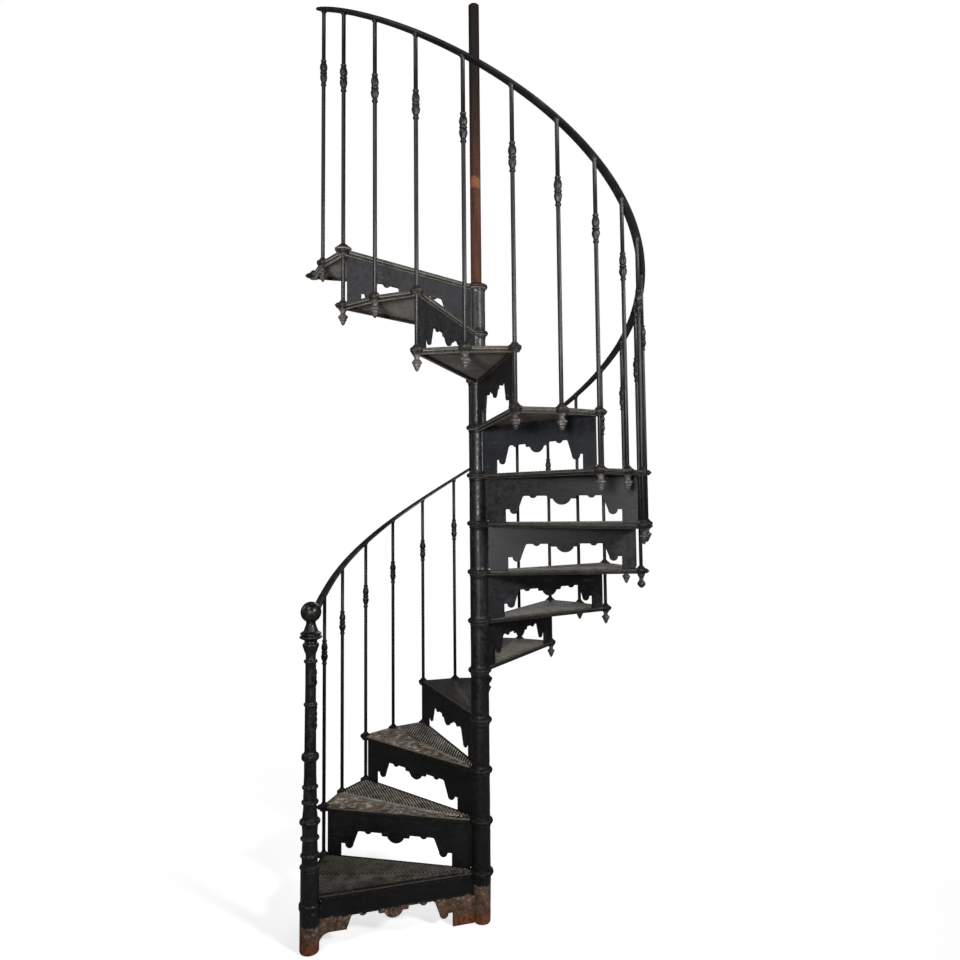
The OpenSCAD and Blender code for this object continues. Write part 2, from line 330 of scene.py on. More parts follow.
def old_paint(name, paint, dust, rust_share=0.30, gloss=0.42, dust_share=0.5, bare_below=None,
              depth=0.5, spots=1.0, streaks=0.0, detail=5.0, specular=0.28):
    """Old black or grey paint on cast iron: sandy grain, dust, chips with rust, and on the
    pieces at the floor bare metal below a height. depth is the grain's, in millimetres,
    spots scales how close the dust and chips lie, detail is how far they break up, and
    streaks is how plain the pale horizontal streaks of painted sheen are."""
    f = Finish(name, specular)
    mottle = f.noise(7 * spots, detail + 1, 0.65)
    fine = f.noise(60 * spots, detail, 0.6)
    grain = f.noise(420, 3, 0.6)
    chips = f.noise(26 * spots, 8, 0.72)
    colour = f.mix(f.spread(mottle, 0.36, 0.72), paint, lerp(np.array(paint), np.array(dust), 0.35))
    dusty = f.times(f.spread(fine, 0.46, 0.72), dust_share)
    colour = f.mix(dusty, colour, dust)
    chipped = f.times(f.spread(chips, 0.66 - 0.1 * rust_share, 0.74), rust_share)
    colour = f.mix(chipped, colour, (0.060, 0.030, 0.020))
    swing = 0.04 * detail
    rough = f.spread(fine, 0.3, 0.7, gloss - 0.4 * swing, gloss + swing)
    bump = f.plus(f.times(grain, 0.35), f.times(fine, 0.9))
    bump = f.minus(bump, f.times(chipped, 0.8))
    # Pale horizontal streaks over the paint: a painted sheen.
    if streaks:
        sheen_streaks = f.noise(9, 6, 0.7, stretch=(1, 1, 7))
        sheen_streaks = f.times(f.spread(sheen_streaks, 0.56, 0.74), streaks)
        colour = f.mix(sheen_streaks, colour, (0.060, 0.062, 0.060))
    if bare_below is not None:
        colour, rough, bump = bared(f, colour, rough, bump, bare_below)
    return f.finish(colour, rough, bump, depth * MM)


def bared(f, colour, rough, bump, limit):
    """Bare brown metal under the paint's lower edge, with pale flecks at that edge and
    orange rust towards the floor."""
    ragged = f.swing(f.noise(38, 7, 0.7), 0.045)
    z = f.plus(f.height(), ragged)
    bare = f.spread(z, limit + 0.003, limit - 0.003)
    patches = f.noise(30, 6, 0.7)
    metal = f.mix(f.spread(patches, 0.36, 0.64), (0.044, 0.024, 0.013), (0.145, 0.088, 0.055))
    near = f.times(f.spread(z, limit - 0.055, limit - 0.005), 0.5)
    flecks = f.times(f.spread(f.noise(110, 5, 0.7), 0.50, 0.66), f.plus(near, 0.3))
    metal = f.mix(flecks, metal, (0.44, 0.33, 0.27))
    rusty = f.spread(f.plus(z, f.times(patches, 0.10)), 0.118, 0.060)
    scaly = f.spread(f.noise(75, 6, 0.75), 0.35, 0.65)
    orange = f.mix(scaly, (0.075, 0.022, 0.010), (0.33, 0.095, 0.034))
    metal = f.mix(f.times(rusty, 0.85), metal, orange)
    pitted = f.plus(bump, f.times(f.times(f.noise(240, 5, 0.7), 2.0), bare))
    return f.mix(bare, colour, metal), f.larger(rough, f.times(bare, 0.8)), pitted


def trodden():
    """Black paint on a tread, rubbed pale on the ribs' tops and the rim, and worn through to
    smooth tan-brown iron where feet pass. Its undersides are painted a lighter brownish grey:
    painted light from below."""
    f = Finish("worn_tread", 0.14)
    worn = f.node("ShaderNodeAttribute", attribute_name="wear").outputs["Fac"]
    crest = f.node("ShaderNodeAttribute", attribute_name="crest").outputs["Fac"]
    broad = f.noise(9, 6, 0.7)
    fine = f.noise(70, 6, 0.7)
    grain = f.noise(380, 3, 0.6)
    paint = f.mix(f.spread(fine, 0.42, 0.66), (0.0055, 0.0055, 0.0050), (0.024, 0.020, 0.016))
    tan = f.mix(f.spread(fine, 0.38, 0.62), (0.050, 0.040, 0.030), (0.21, 0.175, 0.14))
    tan = f.mix(f.spread(f.noise(30, 7, 0.75), 0.49, 0.62), tan, (0.56, 0.475, 0.395))
    tan = f.mix(f.spread(f.noise(37, 7, 0.75), 0.54, 0.66), tan, (0.075, 0.041, 0.030))
    # Painted light: faces turned down are painted a lighter brownish grey, as if lit from below.
    down = f.spread(f.node("ShaderNodeSeparateXYZ", {0: f.normal}).outputs["Z"], -0.7, -0.95)
    underside_painted_light = f.mix(f.spread(broad, 0.3, 0.7), (0.20, 0.178, 0.155), (0.37, 0.335, 0.30))
    paint = f.mix(f.times(down, f.spread(fine, 0.3, 0.6, 0.6, 1.0)), paint, underside_painted_light)
    edge = f.plus(worn, f.swing(broad, 0.9))
    edge = f.plus(edge, f.swing(fine, 0.5))
    share = f.spread(edge, 0.25, 0.70)
    colour = f.mix(share, paint, tan)
    rubbed = f.times(crest, f.spread(f.noise(22, 6, 0.7), 0.30, 0.62, 0.25, 1.0))
    colour = f.mix(rubbed, colour, (0.44, 0.40, 0.34))
    rough = f.spread(share, 0.0, 1.0, 0.50, 0.62)
    bump = f.plus(f.times(grain, 0.4), fine)
    return f.finish(colour, rough, bump, 0.5 * MM)


# Height of the tan band on the pipe
BAND_Z = 3.045


def bare_pipe():
    """Bare red-brown pipe: darker towards the top, with one tan band rubbed round it."""
    f = Finish("pipe_rust", 0.12)
    streaks = f.noise(24, 6, 0.65, stretch=(1, 1, 0.12))
    fine = f.noise(150, 5, 0.7)
    colour = f.mix(f.spread(streaks, 0.36, 0.66), (0.021, 0.0070, 0.0040), (0.053, 0.0185, 0.0098))
    colour = f.mix(f.spread(fine, 0.5, 0.75), colour, (0.073, 0.037, 0.024))
    z = f.plus(f.height(), f.swing(f.noise(12, 4), 0.3))
    dark = f.mix(fine, (0.0065, 0.0044, 0.0038), (0.0125, 0.0080, 0.0066))
    colour = f.mix(f.spread(z, 2.95, 3.55), colour, dark)
    wobble = f.swing(f.noise(60, 4), 0.06)
    off = f.distance(f.plus(f.height(), wobble), BAND_Z)
    colour = f.mix(f.spread(off, 0.030, 0.018), colour, (0.10, 0.040, 0.018))
    bump = f.plus(f.times(fine, 0.6), streaks)
    return f.finish(colour, f.spread(fine, 0.3, 0.7, 0.5, 0.75), bump, 0.5 * MM)


BLACK = (0.0030, 0.0028, 0.0031)
GREY_DUST = (0.018, 0.017, 0.017)

black_iron = old_paint("black_iron", BLACK, GREY_DUST, gloss=0.38, dust_share=0.35, depth=0.3)
# Riser paint, with pale horizontal streaks of painted sheen.
riser_iron = old_paint(
    "riser_iron", (0.0034, 0.0035, 0.0041), (0.0145, 0.015, 0.018),
    rust_share=0.10, gloss=0.42, dust_share=0.3, depth=0.25, streaks=0.4)
# Riser 10's copy of the riser paint, paler and bluer, with stronger pale streaks: painted light
# standing in for a lamp falling on that riser.
painted_light_riser_iron = old_paint(
    "painted_light_riser_iron", (0.0065, 0.0072, 0.0088), (0.026, 0.029, 0.035),
    rust_share=0.10, gloss=0.38, dust_share=0.3, depth=0.25, streaks=0.6)
first_riser_iron = old_paint("first_riser_iron", BLACK, GREY_DUST, rust_share=0.2, bare_below=0.112)
foot_iron = old_paint("foot_iron", BLACK, GREY_DUST, bare_below=0.152)
newel_iron = old_paint(
    "newel_iron", (0.0034, 0.0030, 0.0033), (0.030, 0.027, 0.027),
    rust_share=0.25, gloss=0.30, dust_share=0.55, bare_below=0.100)
ball_iron = old_paint(
    "ball_iron", (0.0045, 0.0042, 0.0038), (0.024, 0.022, 0.020), rust_share=0.2, gloss=0.27)
rail_iron = old_paint(
    "rail_iron", (0.0060, 0.0060, 0.0063), (0.022, 0.021, 0.020),
    rust_share=0.1, gloss=0.40, depth=0.10, spots=0.3, detail=2.0)
rod_iron = old_paint(
    "rod_iron", (0.0045, 0.0045, 0.0048), (0.014, 0.013, 0.012),
    rust_share=0.1, dust_share=0.4, depth=0.05, spots=0.25, detail=1.5, specular=0.22)
pendant_iron = old_paint(
    "pendant_iron", (0.016, 0.0145, 0.0145), (0.125, 0.113, 0.102),
    rust_share=0.8, dust_share=0.75, depth=0.2)
tread_iron = trodden()
pipe_iron = bare_pipe()


# ---- Treads ----

def wedge(inset):
    """A tread's outline drawn in by a distance: front inner and outer corner, the outer
    edge's middle, back outer and inner corner."""
    inner = DRUM_R - 6 * MM
    outer = RAIL_R + OUTER_LAP - inset
    front = (NOSING - inset) * polar(1, math.pi / 2)
    back = (BACK_LAP - inset) * polar(1, math.pi / 2 - STEP)
    return [
        polar(inner, 0) + front,
        polar(outer, 0) + front,
        polar(outer, -STEP / 2),
        polar(outer, -STEP) - back,
        polar(inner, -STEP) - back,
    ]


def rounded_edge(out, high, low, parts=6):
    """Half-round section from its top to its bottom, as (distance outward, height)."""
    r = (high - low) / 2
    middle = (high + low) / 2
    angles = [math.pi * i / parts for i in range(parts + 1)]
    return [(out - r + r * math.sin(a), middle + r * math.cos(a)) for a in angles]


def tread_rim():
    """The rim with its two beads, swept from the column round the outer corners and back."""
    top = 0.4 * MM
    groove = BEAD_STEP + 4 * MM
    inner = RIM_W + BEAD_STEP
    section = [(-RIM_W, top)]
    section += rounded_edge(0, top, -UPPER_BEAD)
    section += [(-groove, -UPPER_BEAD - MM), (-groove, -LOWER_BEAD + 0.8 * MM)]
    section += rounded_edge(-BEAD_STEP, -LOWER_BEAD, -RIM_H)
    section += [(2 * MM - inner, -RIM_H), (-inner, -RIM_H + 2 * MM), (-inner, -PLATE + MM)]
    loops = []
    outlines = [wedge(-out) for out, height in section]
    parts = (26, 10, 10, 26)
    for side, count in enumerate(parts):
        last = side == len(parts) - 1
        for i in range(count + last):
            loops.append([
                (*lerp(outline[side], outline[side + 1], i / count), height)
                for outline, (out, height) in zip(outlines, section)])
    return loft(loops)


def tread_plate(across=14, along=36):
    """The plate inside the rim, with a little unevenness."""
    a, b, middle, c, d = wedge(RIM_W - 3 * MM)
    layers = []
    for height in (0, -PLATE):
        rows = []
        for j in range(along + 1):
            row = []
            for i in range(across + 1):
                s = i / across
                outer = lerp(b, middle, 2 * s) if s < 0.5 else lerp(middle, c, 2 * s - 1)
                p = lerp(lerp(a, d, s), outer, j / along)
                wave = math.sin(31 * p[0] + 2) * math.sin(43 * p[1]) if height == 0 else 0
                row.append((*p, height - 0.3 * MM + 0.5 * MM * wave))
            rows.append(row)
        layers.append(np.array(rows).reshape(-1, 3))
    w = across + 1
    n = len(layers[0])
    faces = []
    for j in range(along):
        for i in range(across):
            q = (j * w + i, (j + 1) * w + i, (j + 1) * w + i + 1, j * w + i + 1)
            faces.append(q)
            faces.append(tuple(n + v for v in reversed(q)))
    rim = [i for i in range(w)] + [j * w + across for j in range(1, along + 1)]
    rim += [along * w + i for i in range(across - 1, -1, -1)]
    rim += [j * w for j in range(along - 1, 0, -1)]
    for a, b in zip(rim, rim[1:] + rim[:1]):
        faces.append((a, b, n + b, n + a))
    return np.concatenate(layers), faces


def middle_frame():
    """Directions along a tread's middle line and across it to the front."""
    return polar(1, -STEP / 2), polar(1, math.pi / 2 - STEP / 2)


# Share of a tread's half width beyond which its front is worn smooth, at the outer edge
# and at the column, how bare it is worn there, and how pale the ribs' tops are rubbed
WORN = {1: (0.80, 0.25, 0.38, 0.35), 2: (0.15, 0.70, 0.8, 0.9), 3: (-0.15, 0.62, 1.15, 1.2),
        4: (0.95, 0.98, 0.08, 0.03)}
WORN_ABOVE = (0.35, 0.7, 0.25, 0.25)
# Share of the wear that dirt hides again at the front edge
GRIME = 0.45


def step_wear(points, k, dirt=0.0):
    """How far feet have worn tread k smooth at each point: most in its outer part's front.
    dirt is the share that grime hides again towards the front edge."""
    points = np.asarray(points, float)
    along, across = middle_frame()
    u = points[:, 0] * along[0] + points[:, 1] * along[1]
    v = points[:, 0] * across[0] + points[:, 1] * across[1]
    share = v / np.maximum(u * math.tan(STEP / 2) + NOSING, 0.02)
    outer, inner, amount = WORN.get(k, WORN_ABOVE)[:3]
    inside = 0.12
    limit = lerp(inner, outer, np.clip((u - inside) / (RAIL_R - inside), 0, 1))
    grimy = 1 - dirt * np.clip((share - 0.6) / 0.35, 0, 1)
    on_top = points[:, 2] > -1.2 * MM
    return amount * grimy * np.clip((share - limit) / 0.28 + 0.5, 0, 1) * on_top


def clipped(start, heading, corners):
    """The stretch of a ray that lies inside a convex outline whose corners run clockwise."""
    low, high = 0.0, 10.0
    for a, b in zip(corners, corners[1:] + corners[:1]):
        edge = b - a
        inward = np.array([edge[1], -edge[0]])
        speed, offset = inward @ heading, inward @ (start - a)
        if abs(speed) < 1e-12:
            if offset < 0:
                return None
        elif speed > 0:
            low = max(low, -offset / speed)
        else:
            high = min(high, -offset / speed)
    return (low, high) if high - low > 6 * MM else None


def tread_ribs(k, parts=10):
    """Herringbone ribs whose points face the column, flattened where the tread is worn."""
    along, across = middle_frame()
    corners = wedge(RIB_MARGIN)
    foot, crown = 3.6 * MM, 1.9 * MM
    shells = []
    count = int(RAIL_R / RIB_PITCH)
    for i in range(3, count + 1):
        start = along * i * RIB_PITCH + across * CHEVRON_SHIFT
        for side in (1, -1):
            heading = (along + side * across) / math.sqrt(2)
            stretch = clipped(start, heading, corners)
            if stretch is None:
                continue
            beside = np.array([-heading[1], heading[0]])
            loops = []
            for j in range(parts + 1):
                p = start + heading * lerp(*stretch, j / parts)
                worn = step_wear([(*p, 0.0)], k)[0]
                top = RIB_HEIGHT * (1 - 0.9 * min(1, 1.5 * worn)) * (0.3 if j in (0, parts) else 1)
                section = ((-foot, -MM), (-crown, top), (crown, top), (foot, -MM))
                loops.append([(*(p + beside * offset), height) for offset, height in section])
            shells.append(loft(loops))
    return shells


def crest(points, k):
    """How pale the ribs' tops are rubbed at each point."""
    points = np.asarray(points)
    rubbed = WORN.get(k, WORN_ABOVE)[3]
    unworn = 1 - np.minimum(1, 1.4 * step_wear(points, k))
    return np.where(points[:, 2] > 0.3 * MM, rubbed * unworn, 0.0)


def rim_crest(points, k):
    """How pale the rim's upper bead is rubbed at each point."""
    pale = 0.3 * WORN.get(k, WORN_ABOVE)[3]
    return np.where((points[:, 2] < -0.5 * MM) & (points[:, 2] > -7 * MM), pale, 0.0)


def hub():
    """The hub round the pipe, with its bead and a thin lip under the bead."""
    bead_low, bead_high = HUB_UP - MM - RING_H, HUB_UP - MM
    section = [(BORE_R, -RIM_H), (DRUM_R + 1.6 * MM, -RIM_H), (DRUM_R + 2.2 * MM, -RIM_H + 2 * MM),
               (DRUM_R + 1.2 * MM, -RIM_H + 4 * MM), (DRUM_R + 0.6 * MM, bead_low - MM)]
    bead = [(RING_R - 10 * MM + x, z) for x, z in rounded_edge(10 * MM, bead_high, bead_low, 12)]
    section += [p for p in reversed(bead) if p[0] > DRUM_R]
    section += [(DRUM_R + 0.5 * MM, HUB_UP), (BORE_R, HUB_UP)]
    return lathe(section, 72, ring=True)


# Radius and height over the tread in millimetres: the funnel under the tread, the usual
# collar over it, and the taller cap at the last tread's front corner
FUNNEL = [(16.5, -19.5), (18, -16), (22, -10), (23, -6), (23, -1)]
COLLAR = [(22.8, 0.8), (19.5, 2.2), (15.5, 5.5), (12, 9.5), (9.6, 12.8), (8.0, 14)]
STEPPED_CAP = [(30, 0.3), (31, 2), (30, 4.5), (24, 7), (22.5, 10.5), (17, 13), (15.5, 16.5),
               (11, 19.5), (8.2, 22)]


def boss(cap):
    """Boss at a baluster's foot: a cap over the tread and a funnel under it."""
    return lathe(soften([(r * MM, z * MM) for r, z in FUNNEL + cap], 1.5 * MM, 2), 36)


# Reach past the baluster's middle and radius in millimetres
KNOB_PROFILE = [(8, 8.5), (20, 8.5), (23, 10.5), (25, 10), (26, 7.5), (27.5, 7.8), (30, 5.0),
                (33, 3.6), (34.5, 1.5)]


def knob():
    """Pointed knob on a tread's outer corner, with four shallow flutes."""
    def flutes(angle, height):
        return 0.6 * MM * np.cos(4 * angle) * (height < 30 * MM)
    profile = soften([(r * MM, reach * MM) for reach, r in KNOB_PROFILE], 1.2 * MM, 2)
    outward = Matrix.Translation((0, 0, -KNOB_DROP)) @ Matrix.Rotation(math.pi / 2, 4, "Y")
    return moved(lathe(profile, 24, flutes), outward)


def tread(k):
    """One tread's casting. Wear marks lie on the rim, plate and ribs, where feet pass."""
    rim, plate, ribs = tread_rim(), tread_plate(), tread_ribs(k)
    fittings = [hub()]
    for at in (0, 0.5, 1):
        corner = Matrix.Rotation(-at * STEP, 4, "Z") @ Matrix.Translation((RAIL_R, 0, 0))
        if not (k == 1 and at == 0):
            cap = STEPPED_CAP if k == STEPS and at == 0 else COLLAR
            fittings.append(moved(boss(cap), corner))
            if at != 0.5:
                fittings.append(moved(knob(), corner))
    wear = [step_wear(points, k, GRIME) for points, faces in (rim, plate, *ribs)]
    wear += [np.zeros(len(points)) for points, faces in fittings]
    pale = [rim_crest(rim[0], k), np.zeros(len(plate[0]))]
    pale += [crest(points, k) for points, faces in ribs]
    pale += [np.zeros(len(points)) for points, faces in fittings]
    place = turned(k - 1, height=k * RISE)
    shells = [moved(shell, place) for shell in (rim, plate, *ribs, *fittings)]
    name = f"tread_{k:02d}"
    piece(name + "_casting", shells, tread_iron, [name], 38,
          [("wear", np.concatenate(wear)), ("crest", np.concatenate(pale))])


# ---- Risers ----

def riser(k):
    """The riser's plate with its edges rounded, and fillets where it meets the drum."""
    name = f"riser_{k:02d}"
    plate = bmesh.new()
    plate.from_mesh(frame["nodes"][name].data)
    bmesh.ops.remove_doubles(plate, verts=plate.verts, dist=0.02 * MM)
    bmesh.ops.dissolve_limit(
        plate, angle_limit=math.radians(1), verts=plate.verts, edges=plate.edges)
    corners = [e for e in plate.edges if e.is_manifold and e.calc_face_angle() > math.radians(35)]
    bmesh.ops.bevel(plate, geom=corners, offset=1.3 * MM, segments=2, profile=0.5,
                    affect="EDGES", clamp_overlap=True)
    place = turned(k - 1, height=(k - 1) * RISE)
    half = RISER_T / 2
    low, high = (4 * MM if k == 1 else 12 * MM), RISE - RIM_H - 2 * MM
    for side in (1, -1):
        root = DRUM_R - 4 * MM
        section = [(root, half - MM), (root, half + 4 * MM), (DRUM_R, half + 3.5 * MM),
                   (DRUM_R + 1.6 * MM, half + 1.6 * MM), (DRUM_R + 4.5 * MM, half - 0.5 * MM)]
        loops = [[(x, side * y, z) for x, y in section[::side]] for z in (low, high)]
        points, faces = moved(loft(loops), place)
        corners = [plate.verts.new(p) for p in points]
        for face in faces:
            plate.faces.new([corners[i] for i in face])
    mesh = bpy.data.meshes.new(name + "_casting")
    plate.to_mesh(mesh)
    plate.free()
    for stale in [a.name for a in mesh.attributes if a.name == "custom_normal"]:
        mesh.attributes.remove(mesh.attributes[stale])
    mesh.shade_flat()
    mesh.materials.clear()
    # Riser 10 takes the paler copy of the riser paint, which is painted light.
    mesh.materials.append({1: first_riser_iron, 10: painted_light_riser_iron}.get(k, riser_iron))
    made = bpy.data.objects.new(mesh.name, mesh)
    bpy.context.scene.collection.objects.link(made)
    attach(made, BODY)
    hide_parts(name)


# ---- Column ----

def column_foot():
    """The tapered foot, with the slight unevenness of a casting."""
    top, parts = RISE - RIM_H, 24

    def uneven(angle, height):
        return 0.35 * MM * np.sin(3 * angle + 40 * height) * math.sin(55 * height)

    profile = [(BORE_R, 0), (FOOT_R - 5 * MM, 0), (FOOT_R - 1.5 * MM, 1.5 * MM), (FOOT_R, 5 * MM)]
    profile += [(lerp(FOOT_R, DRUM_R, i / parts), lerp(5 * MM, top, i / parts))
                for i in range(1, parts + 1)]
    profile += [(BORE_R, top)]
    shell = lathe(profile, 72, uneven, ring=True)
    piece("column_foot_casting", [shell], foot_iron, ["column_foot"])


def column_drums():
    """The drums between the treads, each with a thin lip at its lower and upper end."""
    shells = []
    for k in range(1, STEPS):
        low, high = k * RISE + HUB_UP, (k + 1) * RISE - RIM_H
        waist, lip_low, lip_high = DRUM_R - 0.2 * MM, DRUM_R + 0.8 * MM, DRUM_R + 1.4 * MM
        profile = [(BORE_R, low), (lip_low, low), (lip_low, low + 2 * MM), (waist, low + 4 * MM)]
        profile += [(waist, lerp(low, high, i / 12)) for i in range(1, 12)]
        profile += [(DRUM_R, high - 5 * MM), (lip_high, high - 3 * MM), (lip_high, high)]
        profile += [(BORE_R, high)]

        def uneven(angle, height, k=k):
            return 0.3 * MM * np.sin(2 * angle + k) * math.sin(38 * height + k)

        shells.append(lathe(profile, 72, uneven, ring=True))
    piece("column_drums_casting", shells, black_iron, ["column_drums"])


def centre_pipe():
    """The pipe with an open top: its wall shows for a hand's breadth down the bore."""
    lip = 1.0 * MM
    top = STEPS * RISE
    inner = PIPE_R - PIPE_WALL
    profile = [(PIPE_R - 0.6 * MM, 0), (PIPE_R - 0.6 * MM, top), (PIPE_R, top + HUB_UP)]
    profile += [(PIPE_R, lerp(top + 2 * HUB_UP, PIPE_TOP - lip, i / 20)) for i in range(21)]
    profile += [(PIPE_R - lip, PIPE_TOP), (inner + lip, PIPE_TOP), (inner, PIPE_TOP - lip)]
    profile += [(inner, PIPE_TOP - 120 * MM)]
    piece("centre_pipe_iron", [lathe(profile, 64)], pipe_iron, ["centre_pipe"])


# ---- Balusters and pendants ----

# Radius and height over the knop's middle, as shares of the knop's size
KNOP_PROFILE = [
    (0.50, -0.50), (0.72, -0.48), (0.76, -0.44), (0.60, -0.39), (0.58, -0.37), (0.74, -0.31),
    (0.94, -0.22), (0.98, -0.15), (0.90, -0.09), (0.70, -0.055), (0.90, -0.03), (0.94, 0.0),
    (0.90, 0.03), (0.70, 0.055), (0.86, 0.10), (0.95, 0.17), (0.95, 0.23), (0.84, 0.30),
    (0.70, 0.36), (0.58, 0.40), (0.76, 0.43), (0.76, 0.47), (0.50, 0.50),
]


def leafy(depth, low, high, leaves=4, twist=1.2):
    """Relief of pointed leaves between two heights, for lathe."""
    def relief(angle, height):
        share = (height - low) / (high - low)
        if not 0 < share < 1:
            return 0.0
        lobe = np.abs(np.cos(leaves * angle / 2 + twist * share))
        return depth * math.sin(math.pi * share) * (1.5 * lobe - 0.9)
    return relief


def added(*reliefs):
    """The sum of several reliefs, for lathe."""
    def relief(angle, height):
        return sum(r(angle, height) for r in reliefs)
    return relief


def baluster(foot, s):
    """A rod from its foot to the rail at s steps past the newel, with its leafy knop."""
    rail = rail_height(s)
    knop = rail - KNOP_DROP
    profile = [(ROD_R - 0.8 * MM, foot), (ROD_R, foot + MM), (ROD_R, lerp(foot, knop, 0.5))]
    shape = [(max(ROD_R, r * KNOP_R), knop + z * KNOP_LENGTH) for r, z in KNOP_PROFILE]
    profile += soften(shape, 2.5 * MM, 3)
    profile += [(ROD_R, rail - RAIL_V)]
    profile += [(ROD_R + 3.5 * MM, rail - 0.72 * RAIL_V), (ROD_R + 3.5 * MM, rail - 0.1 * RAIL_V)]
    half = KNOP_LENGTH / 2
    deep = 1.3 * MM
    relief = added(
        leafy(deep, knop + 0.05 * half, knop + 0.86 * half, 4, 1.3),
        leafy(deep, knop - 0.74 * half, knop - 0.10 * half, 4, -1.3),
        leafy(0.5 * MM, knop - 0.06 * half, knop + 0.06 * half, 8, 0))
    return lathe(profile, 32, relief)


def balusters(name, stations):
    """Rods at their steps past the newel, each down to the pendant under its tread."""
    shells = [
        moved(baluster(math.ceil(s) * RISE - RIM_H - ROD_SEAT, s), turned(s, RAIL_R))
        for s in stations]
    piece(name + "_turned", shells, rod_iron, [name], 50)


# Radius and depth in millimetres of the usual pendant, and of a replaced one with a bell
PENDANT = [
    (16.3, 0), (12.5, 4.5), (10, 9), (8.8, 14), (9.2, 17), (11.5, 20), (16, 23.5), (17.2, 27),
    (17, 30), (14.2, 33), (13, 35), (13.2, 38.5), (11, 41.5), (9, 43.5), (9.2, 46.5), (7.5, 50),
    (5.5, 54), (2.5, 57.5),
]
BELL_PENDANT = [
    (16.3, 0), (15, 5), (12.5, 10), (9.5, 16), (8.5, 22), (8.8, 27), (10, 29.5), (14.5, 34),
    (17, 39), (17.2, 43), (15, 48), (11, 52), (9, 53), (8, 56), (3, 58),
]
# Steps past the newel where the replaced pendant hangs
BELL_STATION = 7


def pendant(shape):
    def petals(angle, height):
        share = (-height / MM - 18) / 20
        return 1.0 * MM * np.cos(8 * angle) * math.sin(math.pi * share) if 0 < share < 1 else 0.0
    return lathe(soften([(r * MM, -z * MM) for r, z in reversed(shape)], 1.2 * MM, 2), 32, petals)


def pendants(name, stations):
    """Pendants under the treads, with the replaced one at its station."""
    shells = []
    for s in stations:
        shape = BELL_PENDANT if s == BELL_STATION else PENDANT
        shells.append(moved(pendant(shape), turned(s, RAIL_R, math.ceil(s) * RISE - RIM_H)))
    piece(name + "_turned", shells, pendant_iron, [name], 45)


# ---- Handrail ----

# Right half of the rail's section, as shares of its half width and of its height
RAIL_SECTION = [
    (0.90, -0.50), (1.0, -0.40), (0.99, -0.22), (0.93, 0.02), (0.80, 0.24), (0.58, 0.39),
    (0.30, 0.475), (0.0, 0.50),
]


def rail_ring(s, wide, thick=1.0):
    """The half-round section at s steps past the newel, as a loop of points."""
    outline = RAIL_SECTION + [(-x, z) for x, z in reversed(RAIL_SECTION[:-1])]
    ring = []
    for x, z in outline:
        place = turned(s, RAIL_R + x * wide * RAIL_HALF, rail_height(s) + z * thick * RAIL_V)
        ring.append(tuple(place.translation))
    return ring


def handrail():
    """The whole rail: narrowed where it starts at the newel, and pointed at its top end."""
    first = (NECK_R - 2 * MM) / (RAIL_R * STEP)
    widened, tip, count = 0.375, 0.10, 260
    rings = []
    for i in range(count + 1):
        s = lerp(first, RAIL_LAST, i / count)
        wide = lerp(0.5, 1, min(1, (s - first) / (widened - first)))
        left = (RAIL_LAST - s) / tip
        end = math.sqrt(max(0.02, min(1, left)))
        rings.append(rail_ring(s, wide * end, lerp(0.55, 1, end)))
    nodes = sorted(n for n in frame["nodes"] if n.startswith("handrail_"))
    piece("handrail_bar", [loft(rings)], rail_iron, nodes, 50)


# ---- Newel ----

# Diameter and height in millimetres: the lower part from the first tread's rim, the head
# down from the rail
NEWEL_LOW = [
    (69, 0), (70, 3), (70, 114), (69, 118), (63, 120), (62, 123), (76, 126), (78, 129), (76, 132),
    (63, 135), (61, 139), (60, 160), (62, 166), (70, 169), (71, 172), (70, 175), (61, 179),
    (58, 184), (57, 224), (62, 229), (71, 232), (73, 235), (71, 238), (57, 242), (56, 262),
    (60, 284), (77, 290), (80, 296), (78, 301), (58, 307), (53, 330), (51, 356), (54, 361),
    (64, 364), (66, 368), (64, 372), (52, 376), (50, 400), (51, 416), (61, 421), (63, 424),
    (59, 428), (50, 431), (47, 470), (47, 518), (54, 523), (64, 527), (67, 536), (64, 546),
    (48, 552), (45, 560),
]
NEWEL_HEAD = [
    (43, -304), (51, -301), (54, -297), (51, -293), (42, -289), (41, -240), (41, -145),
    (43, -140), (52, -137), (54, -133), (51, -129), (40, -126), (38, -120), (38, -108),
    (42, -101), (47, -96), (59, -80), (63, -75), (65, -71), (61, -66), (50, -62), (48, -58),
    (51, -52), (76, -47), (86, -43), (87, -40), (84, -37), (73, -35), (74, -32), (82, -29),
    (82, -26), (72, -22), (58, -19), (54, -14), (48, -6), (42, 2), (38, 8), (37, 13), (38, 18),
]


# Depth of the leaf relief, its lowest and highest point in millimetres, measured as for
# NEWEL_LOW, and its number of leaves
NEWEL_LEAVES = [(2.2, 240, 300, 6), (1.6, 300, 345, 6), (2.0, 140, 225, 4), (1.2, 372, 420, 6),
                (1.2, 520, 552, 8)]


